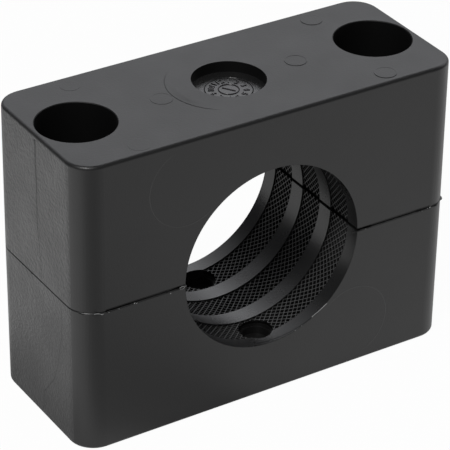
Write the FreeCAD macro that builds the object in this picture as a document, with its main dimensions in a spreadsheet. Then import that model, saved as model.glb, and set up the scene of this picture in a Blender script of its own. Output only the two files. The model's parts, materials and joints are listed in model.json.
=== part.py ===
# Two-part clamp that holds a hydraulic tube, moulded in black polypropylene.
# Both halves are the same moulding: the upper one is the lower one turned over about the tube.
# X runs along the line of the two bolts, Y along the tube and Z up. The origin is in the middle
# of the base. Lengths are in millimetres and angles in degrees.
import FreeCAD, Part
import os

import Sketcher
from FreeCAD import Placement, Rotation, Vector

# The driving sizes: the word that names each one, its value and what it measures.
SIZES = (
    ("block_width", 45.3, "face to face, along the tube"),
    ("half_height", 42.0, "outer face of one half to the joint"),
    ("corner_radius", 7.1, "the four upright corners of the block"),
    ("edge_radius", 1.0, "rim of the outer face"),
    ("draft_angle", 0.1, "how far the sides lean in, away from the joint"),
    ("joint_bevel", 0.2, "bevel round the joint"),
    ("bore_diameter", 53.0, "the smooth lands that grip the tube"),
    ("front_mouth_bevel", 0.1, "the front mouth is all but sharp"),
    ("back_mouth_bevel", 0.9, "lead-in for the tube at the back"),
    ("bore_shift", 0.6, "bands and pockets from the middle of the block to the front"),
    ("band_width", 8.4, "one of the three grooved bands in the bore"),
    ("band_depth", 1.2, "bands below the lands"),
    ("middle_land_width", 5.1, "each of the two lands between the bands"),
    ("relief_depth", 0.4, "relief beside the bore at the joint"),
    ("relief_reach", 1.4, "relief outward from the lands"),
    ("bolt_spacing", 90.0, "one bolt hole to the other"),
    ("bolt_hole_diameter", 21.0, "bolt with its sleeve passes through"),
    ("bolt_rim_bevel", 0.2, "bevel of the bolt hole at the outer face"),
    ("end_wall", 1.6, "bolt hole to the end of the block"),
    ("recess_diameter", 19.7, "blind recess in the middle of the outer face"),
    ("recess_depth", 3.1, "recess below the outer face"),
    ("pocket_diameter", 9.2, "round pocket in the bore"),
    ("pocket_depth", 2.0, "shoulder of the pocket below the lands"),
    ("pocket_floor_diameter", 8.0, "pocket below its shoulder"),
    ("pocket_floor_depth", 4.0, "floor of the pocket below the lands"),
    ("pocket_spacing", 29.0, "one pocket to the other"),
    ("overcut", 1.0, "how far a cutting profile reaches past the wall it cuts"),
)

# The block reaches past both bolt holes by the end walls.
BLOCK_LENGTH = "Sizes.bolt_spacing + Sizes.bolt_hole_diameter + 2 * Sizes.end_wall"

# A point or an edge nearer than this to a plane lies in it.
TOUCH = 0.001


def make_sheet(doc):
    """Puts the driving sizes into a spreadsheet, one row each."""
    sheet = doc.addObject("Spreadsheet::Sheet", "Sizes")
    for row, (word, value, note) in enumerate(SIZES, start=1):
        sheet.set(f"A{row}", word.replace("_", " "))
        sheet.set(f"B{row}", str(value))
        sheet.set(f"C{row}", note)
        sheet.setAlias(f"B{row}", word)
    doc.recompute()
    return sheet


def origin_feature(body, role):
    """Finds one of the body's own planes or axes by its role."""
    return next(item for item in body.Origin.OriginFeatures if item.Role == role)


def new_sketch(body, name, role, lift_axis=None):
    """Attaches a sketch to a plane of the body, lifted to the joint where lift_axis is given."""
    sketch = body.newObject("Sketcher::SketchObject", name)
    sketch.AttachmentSupport = [(origin_feature(body, role), "")]
    sketch.MapMode = "FlatFace"
    if lift_axis:
        sketch.setExpression(f"AttachmentOffset.Base.{lift_axis}", "Sizes.half_height")
    body.Document.recompute()
    return sketch


def amount(owner, formula):
    """Works out a formula of the sheet's sizes."""
    return float(owner.evalExpression(formula))


def tie(sketch, name, formula, kind, *places):
    """Adds a named dimension to a sketch and binds it to the sheet."""
    index = sketch.addConstraint(Sketcher.Constraint(kind, *places, amount(sketch, formula)))
    sketch.renameConstraint(index, name)
    sketch.setExpression("Constraints." + name, formula)


def draw_rectangle(sketch, width, height, across="0", up="0"):
    """Draws a rectangle about its middle, which lies across and up from the sketch's origin."""
    middle = Vector(amount(sketch, across), amount(sketch, up), 0)
    half_x = amount(sketch, width) / 2
    half_y = amount(sketch, height) / 2
    corners = [
        middle + Vector(sign_x * half_x, sign_y * half_y, 0)
        for sign_x, sign_y in ((-1, -1), (1, -1), (1, 1), (-1, 1))
    ]
    sides = [
        sketch.addGeometry(Part.LineSegment(corners[n], corners[(n + 1) % 4]), False)
        for n in range(4)
    ]
    for n in range(4):
        sketch.addConstraint(Sketcher.Constraint("Coincident", sides[n], 2, sides[(n + 1) % 4], 1))
    for n, direction in enumerate(("Horizontal", "Vertical", "Horizontal", "Vertical")):
        sketch.addConstraint(Sketcher.Constraint(direction, sides[n]))
    tie(sketch, "width", width, "DistanceX", sides[0], 1, sides[0], 2)
    tie(sketch, "height", height, "DistanceY", sides[1], 1, sides[1], 2)
    centre = sketch.addGeometry(Part.Point(middle), True)
    sketch.addConstraint(Sketcher.Constraint("Symmetric", sides[0], 1, sides[2], 1, centre, 1))
    place_point(sketch, centre, 1, across, up)


def place_point(sketch, shape, point, across, up):
    """Fixes a point of a sketch across and up from the sketch's origin."""
    for axis, kind, formula in (("across", "DistanceX", across), ("up", "DistanceY", up)):
        if formula == "0":
            on_axis = -2 if kind == "DistanceX" else -1
            sketch.addConstraint(Sketcher.Constraint("PointOnObject", shape, point, on_axis))
        else:
            tie(sketch, f"{axis}_{shape}_{point}", formula, kind, -1, 1, shape, point)


def draw_circle(sketch, diameter, across="0", up="0"):
    """Draws a circle whose middle lies across and up from the sketch's origin."""
    middle = Vector(amount(sketch, across), amount(sketch, up), 0)
    circle = Part.Circle(middle, Vector(0, 0, 1), amount(sketch, diameter) / 2)
    ring = sketch.addGeometry(circle, False)
    tie(sketch, "diameter", diameter, "Diameter", ring)
    place_point(sketch, ring, 3, across, up)


def draw_mouth_corner(sketch, side, bevel):
    """Draws the section that bevels one mouth, running past the bore's wall and the block's face.

    The side is 1 at the back and -1 at the front.
    """
    start = f"{side} * (Sizes.block_width / 2 - {bevel})"
    end = f"{side} * (Sizes.block_width / 2 + Sizes.overcut)"
    wall = "Sizes.bore_diameter / 2"
    spots = (
        (start, f"{wall} - Sizes.overcut"),
        (start, wall),
        (end, f"{wall} + {bevel} + Sizes.overcut"),
        (end, f"{wall} - Sizes.overcut"),
    )
    points = [Vector(amount(sketch, across), amount(sketch, up), 0) for across, up in spots]
    sides = []
    for n in range(len(points)):
        line = Part.LineSegment(points[n], points[(n + 1) % len(points)])
        sides.append(sketch.addGeometry(line, False))
    for n in range(len(points)):
        after = sides[(n + 1) % len(points)]
        sketch.addConstraint(Sketcher.Constraint("Coincident", sides[n], 2, after, 1))
        place_point(sketch, sides[n], 1, *spots[n])


def edges_where(feature, wanted):
    """Names the edges of a feature that pass a test."""
    return [f"Edge{n}" for n, edge in enumerate(feature.Shape.Edges, start=1) if wanted(edge)]


def faces_where(feature, wanted):
    """Names the faces of a feature that pass a test."""
    return [f"Face{n}" for n, face in enumerate(feature.Shape.Faces, start=1) if wanted(face)]


def round_or_bevel(body, kind, name, wanted, formula):
    """Adds a fillet or a chamfer to the edges of the newest feature that pass a test."""
    base = body.Tip
    names = edges_where(base, wanted)
    if not names:
        raise RuntimeError(f"{name} found no edge")
    dressing = body.newObject(kind, name)
    dressing.Base = (base, names)
    length = "Radius" if kind == "PartDesign::Fillet" else "Size"
    dressing.setExpression(length, formula)
    body.Document.recompute()
    return dressing


def must_have_cut(body, before, name):
    """Stops when a cutting feature has taken nothing away."""
    body.Document.recompute()
    if not body.Tip.Shape.Volume < before - TOUCH:
        raise RuntimeError(f"{name} cut nothing")


def cut(body, name, sketch, depth=None, upwards=False, both_ways=False):
    """Pockets a sketch out of the body, to a depth or right through."""
    before = body.Tip.Shape.Volume
    pocket = body.newObject("PartDesign::Pocket", name)
    pocket.Profile = sketch
    pocket.Reversed = upwards
    if depth:
        pocket.Type = "Length"
        pocket.setExpression("Length", depth)
    else:
        pocket.Type = "ThroughAll"
    if both_ways:
        pocket.SideType = "Symmetric"
    must_have_cut(body, before, name)
    return pocket


def turn_out(body, name, sketch):
    """Turns a sketch's profile once round the tube's axis and takes it out of the body."""
    before = body.Tip.Shape.Volume
    groove = body.newObject("PartDesign::Groove", name)
    groove.Profile = sketch
    groove.ReferenceAxis = (sketch, ["H_Axis"])
    groove.Angle = 360
    must_have_cut(body, before, name)
    return groove


def mirror(body, name, features, role):
    """Repeats features on the other side of one of the body's planes."""
    before = body.Tip.Shape.Volume
    mirrored = body.newObject("PartDesign::Mirrored", name)
    mirrored.Originals = features
    mirrored.MirrorPlane = (origin_feature(body, role), [""])
    body.Tip = mirrored
    must_have_cut(body, before, name)


def repeat_to_front(body, name, features, count, length):
    """Repeats features along the tube, towards the front, over a length."""
    before = body.Tip.Shape.Volume
    pattern = body.newObject("PartDesign::LinearPattern", name)
    pattern.Originals = features
    pattern.Direction = (origin_feature(body, "Y_Axis"), [""])
    pattern.Reversed = True
    pattern.Occurrences = count
    pattern.setExpression("Length", length)
    body.Tip = pattern
    must_have_cut(body, before, name)


def build_block(body):
    """The rounded block of one half, widest at the joint, which stands at half_height."""
    outline = new_sketch(body, "block_outline", "XY_Plane", "z")
    draw_rectangle(outline, BLOCK_LENGTH, "Sizes.block_width")
    block = body.newObject("PartDesign::Pad", "block")
    block.Profile = outline
    block.Reversed = True
    block.setExpression("Length", "Sizes.half_height")
    body.Document.recompute()
    height = amount(block, "Sizes.half_height")
    draft = body.newObject("PartDesign::Draft", "draft")
    draft.Base = (block, faces_where(block, lambda face: face.BoundBox.ZLength > height / 2))
    draft.NeutralPlane = (block, faces_where(block, lambda face: face.BoundBox.ZMin > height - TOUCH))
    draft.Reversed = True
    draft.setExpression("Angle", "Sizes.draft_angle")
    body.Document.recompute()
    round_or_bevel(
        body, "PartDesign::Fillet", "upright_corners",
        lambda edge: edge.BoundBox.ZLength > height / 2, "Sizes.corner_radius",
    )
    round_or_bevel(
        body, "PartDesign::Fillet", "outer_rim",
        lambda edge: edge.BoundBox.ZMax < TOUCH, "Sizes.edge_radius",
    )
    round_or_bevel(
        body, "PartDesign::Chamfer", "joint_rim",
        lambda edge: edge.BoundBox.ZMin > height - TOUCH, "Sizes.joint_bevel",
    )


def cut_bore(body):
    """Half of the tube bore: smooth lands, three deeper bands, bevelled mouths and the relief."""
    bore = new_sketch(body, "bore_circle", "XZ_Plane", "y")
    draw_circle(bore, "Sizes.bore_diameter")
    cut(body, "bore", bore, both_ways=True)

    for name, side in (("front_mouth", -1), ("back_mouth", 1)):
        corner = new_sketch(body, name + "_corner", "YZ_Plane", "y")
        draw_mouth_corner(corner, side, f"Sizes.{name}_bevel")
        turn_out(body, name, corner)

    band = new_sketch(body, "band_profile", "YZ_Plane", "y")
    draw_rectangle(
        band, "Sizes.band_width", "Sizes.band_depth + Sizes.overcut",
        across="Sizes.band_width + Sizes.middle_land_width - Sizes.bore_shift",
        up="(Sizes.bore_diameter + Sizes.band_depth - Sizes.overcut) / 2",
    )
    back_band = turn_out(body, "band", band)
    repeat_to_front(body, "bands", [back_band], 3, "2 * (Sizes.band_width + Sizes.middle_land_width)")

    relief = new_sketch(body, "relief_section", "XZ_Plane", "y")
    draw_rectangle(
        relief, "Sizes.bore_diameter + 2 * Sizes.relief_reach", "2 * Sizes.relief_depth"
    )
    cut(body, "joint_relief", relief, both_ways=True)


def cut_bore_pockets(body):
    """The two stepped round pockets at the deepest line of the bore."""
    steps = (
        ("pocket_mouth", "Sizes.pocket_diameter", "Sizes.pocket_depth"),
        ("pocket_floor", "Sizes.pocket_floor_diameter", "Sizes.pocket_floor_depth"),
    )
    pockets = []
    for name, diameter, depth in steps:
        ring = new_sketch(body, name + "_circle", "XY_Plane", "z")
        draw_circle(ring, diameter, up="Sizes.pocket_spacing / 2 - Sizes.bore_shift")
        pockets.append(cut(body, name, ring, depth="Sizes.bore_diameter / 2 + " + depth))
    repeat_to_front(body, "other_pocket", pockets, 2, "Sizes.pocket_spacing")


def cut_bolt_holes(body):
    """The two bolt holes, bevelled where they open in the outer face."""
    ring = new_sketch(body, "bolt_circle", "XY_Plane", "z")
    draw_circle(ring, "Sizes.bolt_hole_diameter", across="Sizes.bolt_spacing / 2")
    hole = cut(body, "bolt_hole", ring)
    mirror(body, "other_bolt_hole", [hole], "YZ_Plane")
    span = amount(body, "Sizes.bolt_hole_diameter")
    round_or_bevel(
        body, "PartDesign::Chamfer", "bolt_rims",
        lambda edge: edge.BoundBox.ZMax < TOUCH and abs(edge.BoundBox.XLength - span) < TOUCH,
        "Sizes.bolt_rim_bevel",
    )


def cut_recess(body):
    """The blind recess in the middle of the outer face."""
    ring = new_sketch(body, "recess_circle", "XY_Plane")
    draw_circle(ring, "Sizes.recess_diameter")
    cut(body, "recess", ring, depth="Sizes.recess_depth", upwards=True)


def build_half(doc, label):
    """One moulded half, standing on its outer face with the joint upwards."""
    body = doc.addObject("PartDesign::Body", label)
    body.Label = label
    build_block(body)
    cut_bore(body)
    cut_bore_pockets(body)
    cut_bolt_holes(body)
    cut_recess(body)
    return body


def check(doc, bodies):
    """Stops when an object of the document has failed or a half isn't one sound solid."""
    for item in doc.Objects:
        if "Invalid" in item.State or "Error" in item.State:
            raise RuntimeError(f"{item.Label} failed: {item.State}")
    for body in bodies:
        shape = body.Shape
        if shape.isNull() or not shape.isValid() or len(shape.Solids) != 1:
            raise RuntimeError(f"{body.Label} isn't one valid solid")


def main():
    """Builds both halves and writes each one to its own file."""
    doc = FreeCAD.newDocument("TubeClamp")
    make_sheet(doc)
    lower = build_half(doc, "lower_clamp_half")
    upper = build_half(doc, "upper_clamp_half")
    upper.Placement = Placement(Vector(0, 0, 0), Rotation(Vector(0, 1, 0), 180))
    upper.setExpression("Placement.Base.z", "2 * Sizes.half_height")
    doc.recompute()
    bodies = (lower, upper)
    check(doc, bodies)
    os.makedirs("parts", exist_ok=True)
    for body in bodies:
        body.Shape.exportStep(f"parts/{body.Label}.step")
        box = body.Shape.BoundBox
        print(f"{body.Label}: volume {body.Shape.Volume:.1f}, faces {len(body.Shape.Faces)}, box {box}")


main()
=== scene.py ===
"""Looks of a two-part hydraulic tube clamp, moulded in black polypropylene.

Both halves are the same moulding. A half is worked out once in its own frame, standing on its outer
face with the joint upwards, and turned over about the tube's axis for the upper half. Lengths are in
millimetres until a mesh is written, which is in metres. X runs along the line of the bolt holes, Y along
the tube and Z up.
"""

import json
import logging
import math
from dataclasses import dataclass
from enum import Enum

import bmesh
import bpy
import numpy as np
from mathutils import Matrix, Vector

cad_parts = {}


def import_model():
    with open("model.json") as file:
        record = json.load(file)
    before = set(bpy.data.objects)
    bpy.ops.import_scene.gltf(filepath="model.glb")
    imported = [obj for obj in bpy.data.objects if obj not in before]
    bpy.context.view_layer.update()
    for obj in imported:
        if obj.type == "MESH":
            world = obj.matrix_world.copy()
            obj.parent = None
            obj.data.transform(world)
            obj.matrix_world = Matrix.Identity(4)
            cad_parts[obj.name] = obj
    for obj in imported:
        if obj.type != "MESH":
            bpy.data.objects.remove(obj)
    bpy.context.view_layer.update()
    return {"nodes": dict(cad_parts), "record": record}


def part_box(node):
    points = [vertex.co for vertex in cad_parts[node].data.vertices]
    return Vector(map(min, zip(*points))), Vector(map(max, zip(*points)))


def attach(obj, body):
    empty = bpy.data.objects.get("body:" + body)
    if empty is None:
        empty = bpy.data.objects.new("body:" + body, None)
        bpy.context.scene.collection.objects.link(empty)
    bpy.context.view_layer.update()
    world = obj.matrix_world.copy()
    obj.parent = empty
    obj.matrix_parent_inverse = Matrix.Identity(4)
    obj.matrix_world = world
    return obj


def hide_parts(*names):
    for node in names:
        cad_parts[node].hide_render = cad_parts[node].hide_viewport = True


LOG = logging.getLogger("tube_clamp")
MM = 0.001
BODY = "root"


class Half(Enum):
    """The two mouldings, by the start of their node's name."""

    LOWER = "lower"
    UPPER = "upper"

    @property
    def node(self) -> str:
        """Name of the CAD node of this half."""
        return f"{self.value}_clamp_half"


class Region(Enum):
    """The surfaces of the clamp that were made in different ways, and the marks whose finish is a painted
    highlight or painted shade.

    The first six are a moulding's own, and their values are its material indices.
    """

    LONG_SIDE = 0
    END = 1
    OUTER_FACE = 2
    BORE = 3
    HOLE_WALL = 4
    RECESS_FLOOR = 5
    KNURL_CREST = 6
    KNURL_SLOPE = 7
    WHITENED = 8
    RING = 9
    SEAM = 10


@dataclass(frozen=True)
class ClampSizes:
    """Sizes of the clamp in millimetres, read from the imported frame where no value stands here."""

    joint_height: float
    half_length: float
    half_width: float
    land_radius: float
    bolt_radius: float
    bolt_offset: float
    # The frame has no mounts for the rest, so these repeat the sizes of the solids.
    band_width: float = 8.4
    middle_land_width: float = 5.1
    band_depth: float = 1.2
    bore_shift: float = 0.6
    pocket_radius: float = 4.6
    pocket_spacing: float = 29.0
    recess_radius: float = 9.85
    recess_depth: float = 3.1

    @classmethod
    def from_frame(cls, record: dict) -> "ClampSizes":
        """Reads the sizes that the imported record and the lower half's box give.

        Args:
            record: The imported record, with its mounts.

        Returns:
            The clamp's sizes in millimetres.
        """
        mounts = {mount["name"]: mount for mount in record["mounts"]}
        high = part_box(Half.LOWER.node)[1] / MM
        hole = mounts["bolt_hole_right"]
        return cls(
            joint_height=high.z,
            half_length=high.x,
            half_width=high.y,
            land_radius=mounts["tube_bore"]["dims"]["r_mm"],
            bolt_radius=hole["dims"]["r_mm"],
            bolt_offset=hole["pos_m"][0] / MM,
        )

    def place(self, points: np.ndarray, half: Half) -> np.ndarray:
        """Puts points of a half's own frame where that half lies.

        The upper half is the lower one turned by half a turn about the tube's axis: x changes its sign
        and z is mirrored at the joint.

        Args:
            points: Rows of x, y and z in the half's own frame.
            half: The half that the points belong to.

        Returns:
            The points in the row's frame.
        """
        if half is Half.LOWER:
            return points
        turned = points * np.array([-1.0, 1.0, -1.0])
        turned[:, 2] += 2 * self.joint_height
        return turned


def linear(hex_colour: str) -> tuple[float, float, float, float]:
    """Turns an sRGB hex colour into linear light.

    Args:
        hex_colour: Six hex digits after a hash sign.

    Returns:
        Red, green and blue, linear, and an alpha of 1.
    """
    shares = [int(hex_colour[n : n + 2], 16) / 255 for n in (1, 3, 5)]
    light = [s / 12.92 if s <= 0.04045 else ((s + 0.055) / 1.055) ** 2.4 for s in shares]
    return (*light, 1.0)


def add_node(
    tree: bpy.types.NodeTree, kind: str, settings: dict | None = None, links: dict | None = None
) -> bpy.types.Node:
    """Adds a shader node with its settings and its inputs.

    Args:
        tree: The node tree that gets the node.
        kind: Blender's type name of the node.
        settings: Attributes of the node by name.
        links: Inputs by name or index, each a value or an output socket to link from.

    Returns:
        The new node.
    """
    node = tree.nodes.new(kind)
    for name, value in (settings or {}).items():
        setattr(node, name, value)
    for key, value in (links or {}).items():
        if isinstance(value, bpy.types.NodeSocket):
            tree.links.new(value, node.inputs[key])
        else:
            node.inputs[key].default_value = value
    return node


def stepped(tree: bpy.types.NodeTree, start: float, steps: list) -> bpy.types.NodeSocket:
    """Multiplies a number by smooth steps over other values.

    A step goes from its first height to its last one while its value goes from low to high, and stays
    level on both sides of that.

    Args:
        tree: The node tree that gets the steps.
        start: The number.
        steps: Rows of value, low, high, first and last.

    Returns:
        The socket of the product.
    """
    product = start
    for value, low, high, first, last in steps:
        step = add_node(
            tree, "ShaderNodeMapRange", {"interpolation_type": "SMOOTHSTEP"},
            {"Value": value, "From Min": low, "From Max": high, "To Min": first, "To Max": last},
        )
        product = add_node(
            tree, "ShaderNodeMath", {"operation": "MULTIPLY"}, {0: step.outputs["Result"], 1: product}
        ).outputs[0]
    return product


@dataclass(frozen=True)
class InsertEdge:
    """The mould's insert round the recess, which stands a little proud of the face on one side.

    Lengths are in millimetres, and places are those of the upper half with x turned over. The eye sees
    the lip as a thin light arc, and the bank inside it as a soft shade.
    """

    closed_height: float
    radius: float = 15.0
    middle: tuple[float, float] = (2.3, -0.5)
    rise: float = 0.4
    lip_share: float = 0.4
    lip: tuple[float, float] = (-0.3, 0.1)
    bank_width: float = 3.0
    bank_front: tuple[float, float] = (-11.0, -3.0)
    bank_back: tuple[float, float] = (4.0, 9.0)
    beside_recess: tuple[float, float] = (9.5, 15.0)

    def height(self, tree: bpy.types.NodeTree, place: bpy.types.NodeSocket) -> bpy.types.NodeSocket:
        """Adds the height of the face, as a share of the insert's rise.

        It is 0 outside the insert's edge and rises inside it, steeply at the lip and then slowly over the
        bank. It shows only on the side that lies at -X on the upper half, and turned on the lower one.

        Args:
            tree: The material's node tree.
            place: Object coordinates.

        Returns:
            The socket of the height.
        """
        axes = add_node(tree, "ShaderNodeSeparateXYZ", {}, {0: place}).outputs
        turned = add_node(
            tree, "ShaderNodeMapRange", {},
            {"Value": axes["Z"], "From Max": self.closed_height * MM, "To Min": 1.0, "To Max": -1.0},
        )
        across = add_node(
            tree, "ShaderNodeMath", {"operation": "MULTIPLY"}, {0: axes["X"], 1: turned.outputs["Result"]}
        ).outputs[0]
        flat = add_node(tree, "ShaderNodeCombineXYZ", {}, {"X": across, "Y": axes["Y"]})
        radius = add_node(
            tree, "ShaderNodeVectorMath", {"operation": "DISTANCE"},
            {0: flat.outputs[0], 1: (self.middle[0] * MM, self.middle[1] * MM, 0.0)},
        ).outputs["Value"]
        lip = [(radius, self.radius + self.lip[0], self.radius + self.lip[1], self.lip_share, 0.0)]
        bank = [
            (radius, self.radius - self.bank_width, self.radius, 1 - self.lip_share, 0.0),
            (axes["Y"], *self.bank_front, 0.0, 1.0),
            (axes["Y"], *self.bank_back, 1.0, 0.0),
        ]
        beside = (across, *self.beside_recess, 0.0, 1.0)
        heights = []
        for part in (lip, bank):
            steps = [
                (value, low * MM, high * MM, first, last) for value, low, high, first, last in [*part, beside]
            ]
            heights.append(stepped(tree, 1.0, steps))
        return add_node(
            tree, "ShaderNodeMath", {"operation": "ADD"}, {0: heights[0], 1: heights[1]}
        ).outputs[0]


@dataclass(frozen=True)
class MouldedPolypropylene:
    """Black polypropylene as it comes out of a steel mould, with the texture of the steel.

    Black pigment leaves almost no light from inside, so the eye sees the sheen of the skin, and what
    changes from one surface to the next is how rough the mould was. The real grain is about 0.1 mm wide,
    too fine for a render of the whole clamp, so it is drawn as coarse as it needs to show.
    """

    name: str
    colour: str = "#1b1b1b"
    roughness: float = 0.42
    roughness_spread: float = 0.02
    cloud_mm: float = 14.0
    cloud_range: tuple[float, float] = (0.3, 0.7)
    grain_mm: float = 0.45
    grain_height_mm: float = 0.03
    ripple_mm: float = 12.0
    ripple_height_mm: float = 0.01
    octave_share: float = 0.6
    specular: float = 0.62
    ior: float = 1.49
    insert: InsertEdge | None = None

    def build(self) -> bpy.types.Material:
        """Makes the material.

        The bump is the sum of a slow noise, the shrinkage of the skin as it cooled, of a fine one, the
        grain of the mould, and of the insert's edge where there is one. The roughness wanders about its
        middle with a third noise.

        Returns:
            The finished material.
        """
        material = bpy.data.materials.new(self.name)
        material.use_nodes = True
        tree = material.node_tree
        tree.nodes.clear()
        place = add_node(tree, "ShaderNodeTexCoord").outputs["Object"]
        clouds, ripple, grain = (
            add_node(
                tree, "ShaderNodeTexNoise", {},
                {
                    "Vector": place, "Scale": 1 / (size * MM),
                    "Detail": octaves, "Roughness": self.octave_share,
                },
            ).outputs["Fac"]
            for size, octaves in ((self.cloud_mm, 4.0), (self.ripple_mm, 2.0), (self.grain_mm, 2.0))
        )
        roughness = add_node(
            tree, "ShaderNodeMapRange", {},
            {
                "Value": clouds, "From Min": self.cloud_range[0], "From Max": self.cloud_range[1],
                "To Min": self.roughness - self.roughness_spread,
                "To Max": self.roughness + self.roughness_spread,
            },
        )
        relief = [(ripple, self.ripple_height_mm), (grain, self.grain_height_mm)]
        if self.insert is not None:
            relief.append((self.insert.height(tree, place), self.insert.rise))
        below: dict = {}
        for height, rise in relief:
            bump = add_node(
                tree, "ShaderNodeBump", {},
                {"Height": height, "Distance": rise * MM, "Strength": 1.0, **below},
            )
            below = {"Normal": bump.outputs["Normal"]}
        shader = add_node(
            tree, "ShaderNodeBsdfPrincipled", {},
            {
                "Base Color": linear(self.colour), "Roughness": roughness.outputs["Result"],
                "IOR": self.ior, "Specular IOR Level": self.specular, **below,
            },
        )
        add_node(tree, "ShaderNodeOutputMaterial", {}, {"Surface": shader.outputs["BSDF"]})
        return material


@dataclass
class Shape:
    """A closed surface: its points in millimetres, and its faces as lists of their numbers."""

    points: np.ndarray
    faces: list

    def object(self, name: str) -> bpy.types.Object:
        """Writes the shape into a new object, whose faces are shaded smoothly.

        Args:
            name: The object's name.

        Returns:
            The object, at the origin, with its place in its mesh.
        """
        mesh = bpy.data.meshes.new(name)
        mesh.from_pydata((self.points * MM).tolist(), [], self.faces)
        mesh.validate()
        skin = bmesh.new()
        skin.from_mesh(mesh)
        bmesh.ops.recalc_face_normals(skin, faces=skin.faces)
        skin.to_mesh(mesh)
        skin.free()
        mesh.polygons.foreach_set("use_smooth", np.full(len(mesh.polygons), True))
        mesh.update()
        item = bpy.data.objects.new(name, mesh)
        bpy.context.scene.collection.objects.link(item)
        return item


def face_middles(mesh: bpy.types.Mesh) -> np.ndarray:
    """Gives the middle of each face of a mesh.

    Args:
        mesh: The mesh, in metres.

    Returns:
        Rows of x, y and z in millimetres.
    """
    middle = np.zeros(len(mesh.polygons) * 3)
    mesh.polygons.foreach_get("center", middle)
    return middle.reshape(-1, 3) / MM


def joined(shapes: list[Shape]) -> Shape:
    """Puts several shapes into one.

    Args:
        shapes: The shapes to join.

    Returns:
        One shape with all points and faces.
    """
    starts = np.cumsum([0] + [len(shape.points) for shape in shapes[:-1]])
    faces = [
        [int(n) + int(start) for n in face]
        for shape, start in zip(shapes, starts)
        for face in shape.faces
    ]
    return Shape(np.vstack([shape.points for shape in shapes]), faces)


def revolved(profile: np.ndarray, segments: int) -> Shape:
    """Turns a profile about the Z axis into a closed shape.

    A point (radius, height) of the profile becomes a ring of points (radius cos a, radius sin a, height)
    with a in equal steps. The first and last rings are closed by one flat face each.

    Args:
        profile: Rows of radius and height, from the lower cap to the upper one.
        segments: Points in each ring.

    Returns:
        The closed shape.
    """
    angle = np.linspace(0, 2 * np.pi, segments, endpoint=False)
    radius, height = profile[:, :1], profile[:, 1:]
    points = np.stack(
        [radius * np.cos(angle), radius * np.sin(angle), np.broadcast_to(height, (len(profile), segments))],
        axis=-1,
    ).reshape(-1, 3)
    ring, spoke = np.meshgrid(np.arange(len(profile) - 1), np.arange(segments), indexing="ij")
    here = ring * segments + spoke
    aside = ring * segments + (spoke + 1) % segments
    quads = np.stack([here, aside, aside + segments, here + segments], axis=-1).reshape(-1, 4)
    faces = quads.tolist()
    faces.append(list(range(segments - 1, -1, -1)))
    faces.append(list(range((len(profile) - 1) * segments, len(profile) * segments)))
    return Shape(points, faces)


def ridge(
    path: np.ndarray, out: np.ndarray, half_width: float | np.ndarray, height: float | np.ndarray,
    closed: bool = False, sink: float = 0.15,
) -> Shape:
    """Lays a small rounded ridge along a line on a surface.

    Each point of the line gets a section of seven points: two under the surface and five over it, at
    shares 0, 0.75, 1, 0.75 and 0 of the height.

    Args:
        path: Points of the line.
        out: Direction away from the surface, one for all or one for each point.
        half_width: Half the ridge's width, one for all or one for each point.
        height: The ridge's height, one for all or one for each point.
        closed: Whether the line runs back into its start.
        sink: How far the section reaches under the surface.

    Returns:
        The closed shape.
    """
    count = len(path)
    ahead = np.roll(path, -1, axis=0) - np.roll(path, 1, axis=0) if closed else np.gradient(path, axis=0)
    out = np.broadcast_to(out, path.shape)
    aside = np.cross(ahead, out)
    aside /= np.linalg.norm(aside, axis=1, keepdims=True)
    across = np.array([-1, -1, -0.6, 0, 0.6, 1, 1])
    share = np.array([0, 0, 0.75, 1, 0.75, 0, 0])
    below = np.array([1, 0, 0, 0, 0, 0, 1])
    side = np.broadcast_to(half_width, count)[:, None] * across
    lift = np.broadcast_to(height, count)[:, None] * share - sink * below
    points = path[:, None, :] + aside[:, None, :] * side[..., None] + out[:, None, :] * lift[..., None]
    size = len(across)
    start, corner = np.meshgrid(np.arange(count if closed else count - 1), np.arange(size), indexing="ij")
    here = start * size
    after = (start + 1) % count * size
    beside = (corner + 1) % size
    quads = np.stack([here + corner, here + beside, after + beside, after + corner], axis=-1)
    faces = quads.reshape(-1, 4).tolist()
    if not closed:
        faces += [list(range(size)), list(range((count - 1) * size, count * size))]
    return Shape(points.reshape(-1, 3), faces)


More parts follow.
